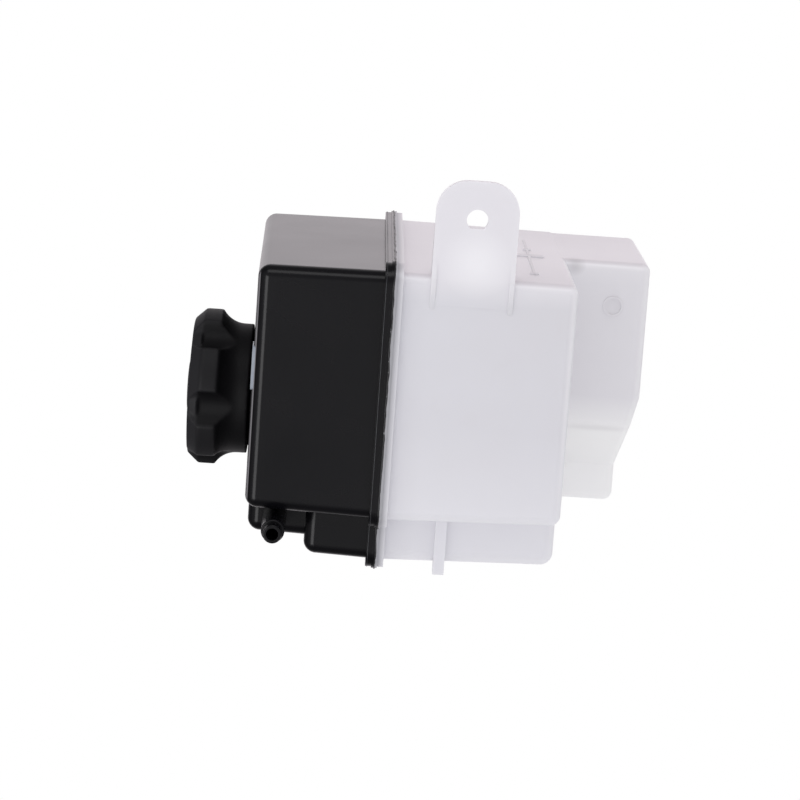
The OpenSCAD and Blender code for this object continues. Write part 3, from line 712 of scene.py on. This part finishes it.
# %% Round the edges and smooth the rest
def round_edges(skin, width, angle=28, segments=2):
    """Bevel every edge sharper than the angle, then smooth the surface."""
    pick(skin)
    bevel = skin.modifiers.new("edge_round", "BEVEL")
    bevel.width = width
    bevel.segments = segments
    bevel.limit_method = "ANGLE"
    bevel.angle_limit = math.radians(angle)
    bevel.use_clamp_overlap = True
    bpy.ops.object.modifier_apply(modifier="edge_round")
    bpy.ops.object.shade_smooth_by_angle(angle=math.radians(35))
    weigh = skin.modifiers.new("flat_faces", "WEIGHTED_NORMAL")
    weigh.keep_sharp = True
    bpy.ops.object.modifier_apply(modifier="flat_faces")
    report(skin)


def dress(piece, finish, body):
    """Give a piece its finish and its body."""
    piece.data.materials.clear()
    piece.data.materials.append(finish)
    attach(piece, body)


# %% The black upper half
mould_radius = 0.00035
upper_skin = skin_of("upper_shell", "upper_skin")
round_edges(upper_skin, mould_radius)
dress(upper_skin, black_shell, "tank")
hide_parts("upper_shell")

# %% The white lower half
lower_skin = skin_of("lower_shell", "lower_skin")
round_edges(lower_skin, mould_radius)
dress(lower_skin, natural_shell, "tank")
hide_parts("lower_shell")

# %% [markdown]
# ## Tails of the tab's ribs
#
# Each side rib of the tab runs out on the near face as a long low wedge. The solid's ribs run out a little
# early, so a thin wedge lies over each of them and carries it on. It could be cut from a cube, but it is
# quicker to start from one flat face with its corners at the wedge's profile, and to extrude that to the
# rib's thickness.

# %% A flat face from its corners
def face_with_corners(name, corners):
    """A flat face with four corners, given in order round it."""
    bpy.ops.mesh.primitive_plane_add(size=1.0, location=(0.0, 0.0, 0.0))
    face = bpy.context.object
    face.name = name
    for number, corner in zip((0, 1, 3, 2), corners):
        face.data.vertices[number].co = corner
    return face


# %% Rib tails
tail_profile = [(-0.0242, -0.0012), (-0.0375, -0.0012), (-0.0366, -0.00175), (-0.0242, -0.00295)]
tail_width = 0.0021
tail_rounding = 0.0003
tab_half = 0.01665


def rib_tail(name, start_z):
    """A wedge on the near face that begins at one height."""
    tail = face_with_corners(name, [(x, y, start_z) for x, y in tail_profile])
    edit_all(tail)
    bpy.ops.mesh.extrude_region_move(TRANSFORM_OT_translate={"value": (0.0, 0.0, tail_width)})
    bpy.ops.object.mode_set(mode="OBJECT")
    face_outwards(tail)
    round_edges(tail, tail_rounding)
    dress(tail, natural_shell, "tank")


rib_tail("rib_tail_cap_side", tab_half - tail_width)
rib_tail("rib_tail_sump_side", -tab_half)

# %% [markdown]
# ## Springs
#
# Both coil springs are pressed shorter when their valves move. The record names each spring's solid, the
# joint that presses it and the height of its fixed end. A new coil could be turned, but the solid already
# has the right wire and the right turns.

# %% Springs, copied from their solids
for joint in frame["record"]["behaviour"]["joints"]:
    for pressed in joint.get("deforming_nodes", []):
        spring = skin_of(pressed["node"], pressed["node"] + "_wire")
        bpy.ops.object.shade_smooth_by_angle(angle=math.radians(60))
        dress(spring, spring_steel, joint["parent"])
        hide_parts(pressed["node"])
        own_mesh(spring)

# %% [markdown]
# ## Cap
#
# The cap is one moulding with six lobes and deep scoops between them. The scoops stop short of the cap's
# face, so a narrow rim goes all the way round: it is a small section turned round the neck's axis and
# joined to the copy. All the edges are rounded by about a millimetre, more than a bevel can give where a
# scoop runs out on the skirt. So the copy is remade from small cells, like clay, and smoothed, which
# rounds every edge by the same amount.

# %% Rim between the lobes
steps_round = 96
rim_profile = [(0.0265, 0.1086), (0.0294, 0.1093), (0.0281, 0.1127), (0.0262, 0.1129)]

cap_rim = face_with_corners("cap_rim", [(radius, 0.0, z) for radius, z in rim_profile])
edit_all(cap_rim)
bpy.ops.mesh.delete(type="ONLY_FACE")
bpy.ops.object.mode_set(mode="OBJECT")
turn = cap_rim.modifiers.new("turn", "SCREW")
turn.steps = steps_round
turn.render_steps = steps_round
turn.use_merge_vertices = True
bpy.ops.object.modifier_apply(modifier="turn")
face_outwards(cap_rim)
cap_rim.location = neck_axis
bpy.ops.object.transform_apply(location=True, rotation=True, scale=True)
report(cap_rim)

# %% Cap skin
clay_cell = 0.0006

cap_skin = skin_of("cap_grip", "cap_skin")
pick(cap_skin, cap_rim)
bpy.ops.object.join()
clay = cap_skin.modifiers.new("clay", "REMESH")
clay.mode = "VOXEL"
clay.voxel_size = clay_cell
bpy.ops.object.modifier_apply(modifier="clay")
smooth = cap_skin.modifiers.new("smooth", "SMOOTH")
smooth.factor = 0.5
smooth.iterations = 5
bpy.ops.object.modifier_apply(modifier="smooth")
bpy.ops.object.shade_smooth()
dress(cap_skin, cap_plastic, "grip")
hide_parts("cap_grip")
report(cap_skin)

# %% [markdown]
# ## Screw threads
#
# The cap screws on a thread with a lead of four millimetres. Its ridge is a small trapezium that is turned
# round the neck's axis while it climbs, which is what the Screw modifier does. A curve along a helix would
# climb as well, but its section would be round, and this thread has flat sides. The ridge inside the cap
# lies half a lead higher, so the two slide past each other as the cap turns. Both run out into their walls
# at their ends, as a moulded thread does: a point near an end keeps only part of its height.

# %% Let a ridge run out at its ends
lead = 0.004
run_out_rate = 8
height_at_end = 0.4
sunk_crest = 0.05


def run_out(ridge, wall_radius, reach, turns):
    """Bring a ridge's crest back to its wall in the last part of a turn, at both ends."""
    for vertex in ridge.data.vertices:
        radius = math.hypot(vertex.co.x, vertex.co.y)
        turned = vertex.co.z / lead
        from_start = run_out_rate * turned + height_at_end
        from_finish = run_out_rate * (turns - turned) + height_at_end
        keep = max(0.0, min(1.0, from_start, from_finish))
        if abs(radius - wall_radius) > abs(0.5 * reach):
            wanted = wall_radius + reach * (keep - sunk_crest)
            vertex.co.x *= wanted / radius
            vertex.co.y *= wanted / radius


# %% A ridge that climbs round the neck's axis
root_half = 0.001
crest_half = 0.00045
sunk_root = 0.1


def thread_ridge(name, wall_radius, reach, start_z, turns):
    """Turn a trapezium round the neck's axis; a negative reach points inwards."""
    root = wall_radius - sunk_root * reach
    crest = wall_radius + reach
    section = [(root, -root_half), (crest, -crest_half), (crest, crest_half), (root, root_half)]
    ridge = face_with_corners(name, [(radius, 0.0, z) for radius, z in section])
    edit_all(ridge)
    bpy.ops.mesh.delete(type="ONLY_FACE")
    bpy.ops.object.mode_set(mode="OBJECT")
    screw = ridge.modifiers.new("climb", "SCREW")
    screw.axis = "Z"
    screw.angle = 2 * math.pi
    screw.screw_offset = lead
    screw.iterations = turns
    screw.steps = steps_round
    screw.render_steps = steps_round
    screw.use_merge_vertices = False
    bpy.ops.object.modifier_apply(modifier="climb")
    run_out(ridge, wall_radius, reach, turns)
    for vertex in ridge.data.vertices:
        vertex.co.z += start_z
    bpy.ops.object.mode_set(mode="EDIT")
    bpy.ops.mesh.select_all(action="DESELECT")
    bpy.ops.mesh.select_non_manifold()
    bpy.ops.mesh.fill()
    bpy.ops.object.mode_set(mode="OBJECT")
    face_outwards(ridge)
    ridge.location = neck_axis
    bpy.ops.object.transform_apply(location=True, rotation=True, scale=True)
    bpy.ops.object.shade_smooth_by_angle(angle=math.radians(30))
    report(ridge)
    return ridge


# %% Threads of the neck and the cap
ridge_height = 0.00095

neck_thread = thread_ridge("neck_thread", 0.0237, ridge_height, 0.0906, 2)
dress(neck_thread, black_shell, "tank")
cap_thread = thread_ridge("cap_thread", 0.0251, -ridge_height, 0.0926, 1)
dress(cap_thread, cap_plastic, "grip")

# %% [markdown]
# ## Weld flash
#
# The halves are welded face to face with a hot plate, which squeezes a ragged bead of plastic out along
# the flange. To get the bead's path, a copy of the white half is cut by a plane just below the weld, and
# only the outer line of the cut is kept. Such a line follows the flange more closely than one drawn by
# hand. It becomes a curve with a round section, then a mesh, and a little noise makes it ragged. The black
# flange has a fine smooth lip along its far edge, which is made the same way from the black half. The
# lip's lighter grey is a painted highlight along the flange's edge.

# %% The outer line of a cut
merge_gap = 0.0003
longest_edge = 0.0012


def outer_line(name, skin, cut_z):
    """The outer outline of a skin at one height, in short edges."""
    line = bpy.data.objects.new(name, skin.data.copy())
    bpy.context.collection.objects.link(line)
    edit_all(line)
    level = {"plane_co": (0.0, 0.0, cut_z), "plane_no": (0.0, 0.0, 1.0)}
    bpy.ops.mesh.bisect(**level, clear_inner=True, clear_outer=True)
    bpy.ops.object.mode_set(mode="OBJECT")
    outline = bmesh.new()
    outline.from_mesh(line.data)
    kept = set()
    waiting = [max(outline.verts, key=lambda v: v.co.x)]
    while waiting:
        vertex = waiting.pop()
        if vertex not in kept:
            kept.add(vertex)
            waiting.extend(edge.other_vert(vertex) for edge in vertex.link_edges)
    bmesh.ops.delete(outline, geom=[v for v in outline.verts if v not in kept], context="VERTS")
    bmesh.ops.remove_doubles(outline, verts=outline.verts[:], dist=merge_gap)
    long_edges = outline.edges[:]
    while long_edges:
        bmesh.ops.subdivide_edges(outline, edges=long_edges, cuts=1)
        long_edges = [e for e in outline.edges if e.calc_length() > longest_edge]
    outline.to_mesh(line.data)
    outline.free()
    return line


# %% A line of plastic round the flange
rag_scale = 310
fine_rag_scale = 900
wander_scale = 150


def flange_line(name, skin, cut_z, thickness, rag_size, lift):
    """The outer outline of a skin at one height, as a thin ragged bead."""
    line = outer_line(name, skin, cut_z)
    bpy.ops.object.convert(target="CURVE")
    line.data.bevel_depth = thickness
    line.data.bevel_resolution = 2
    bpy.ops.object.convert(target="MESH")
    for vertex in line.data.vertices:
        p = vertex.co
        rag = noise.noise(p * rag_scale) * 0.6 + noise.noise(p * fine_rag_scale) * 0.4
        wander = Vector((0.0, 0.0, lift + 1.3 * rag_size * noise.noise(p * wander_scale)))
        vertex.co = p + vertex.normal * rag_size * rag + wander
        vertex.co.x = max(vertex.co.x, cad_box[0][0])
    face_outwards(line)
    bpy.ops.object.shade_smooth()
    report(line)
    return line


# %% Weld bead and flange lip
weld_z = 0.0313
bead_drop = 0.0007
lip_rise = 0.0030

bead = flange_line("weld_bead", lower_skin, weld_z - bead_drop, 0.00036, 0.0003, bead_drop)
lip = flange_line("flange_lip", upper_skin, weld_z + lip_rise, 0.00022, 0.00002, 0.0)
# The lip's lighter grey is a painted highlight.
lip_highlight = make_finish("lip_highlight", (0.026, 0.026, 0.030), (0.014, 0.014, 0.017),
                         0.3, 0.4, 1500, 0.01, specular=0.3)
dress(lip, lip_highlight, "tank")

# %% [markdown]
# Nearly all of the flash is black. Where the halves were pressed hardest, in the middle of the near and
# far sides, some specks of the white plastic came out too.

# %% The bead's finish
bead_finish = make_finish("bead_finish", (0.004, 0.004, 0.005), (0.010, 0.010, 0.011),
                          0.3, 0.45, 1500, 0.02, cloud_scale=330.0, contrast=9.0, specular=0.3)
specks = group_node(bead_finish, scuff_group, Scale=700.0, Amount=1.0).outputs["Mask"]
one_end = mask_along(bead_finish, "X", -0.098, -0.086)
other_end = mask_along(bead_finish, "X", -0.030, -0.036)
middle_specks = both_masks(bead_finish, both_masks(bead_finish, specks, one_end), other_end)
blend_colour(bead_finish, middle_specks, 1.0, (0.48, 0.48, 0.50))
dress(bead, bead_finish, "tank")
print("bead finished")

# %% [markdown]
# ## Blank data plate
#
# A thin blank silver plate lies on the filler face near its edge. It starts as a flat face instead of a
# cube, because its corners are easily rounded while it is flat. An extrusion gives it its thickness and an
# inset its pressed border, and it is then tilted by the little slope that the filler face has.

# %% Data plate
plate_length = 0.0180
plate_width = 0.0120
plate_thickness = 0.0016
plate_corner = 0.0012
border_width = 0.0010
border_depth = 0.00025
plate_rounding = 0.00012
plate_middle = (-0.0659, 0.0072, 0.0846)
face_slope = math.radians(1.1)

bpy.ops.mesh.primitive_plane_add(size=1.0, location=(0.0, 0.0, 0.0))
plate = bpy.context.object
plate.name = "data_plate"
plate.scale = (plate_length, plate_width, 1.0)
bpy.ops.object.transform_apply(location=False, rotation=False, scale=True)
edit_all(plate)
bpy.ops.mesh.bevel(offset=plate_corner, segments=4, affect="VERTICES")
bpy.ops.mesh.extrude_region_move(TRANSFORM_OT_translate={"value": (0.0, 0.0, plate_thickness)})
bpy.ops.mesh.inset(thickness=border_width)
bpy.ops.transform.translate(value=(0.0, 0.0, -border_depth))
bpy.ops.object.mode_set(mode="OBJECT")
face_outwards(plate)
plate.rotation_euler = (face_slope, 0.0, 0.0)
plate.location = plate_middle
bpy.ops.object.transform_apply(location=True, rotation=True, scale=True)
round_edges(plate, plate_rounding)

# %% The plate's finish
plate_finish = make_finish("plate_finish", (0.33, 0.37, 0.42), (0.25, 0.28, 0.33),
                           0.30, 0.42, 1800, 0.004, cloud_scale=260.0)
dress(plate, plate_finish, "tank")
print("plate finished")
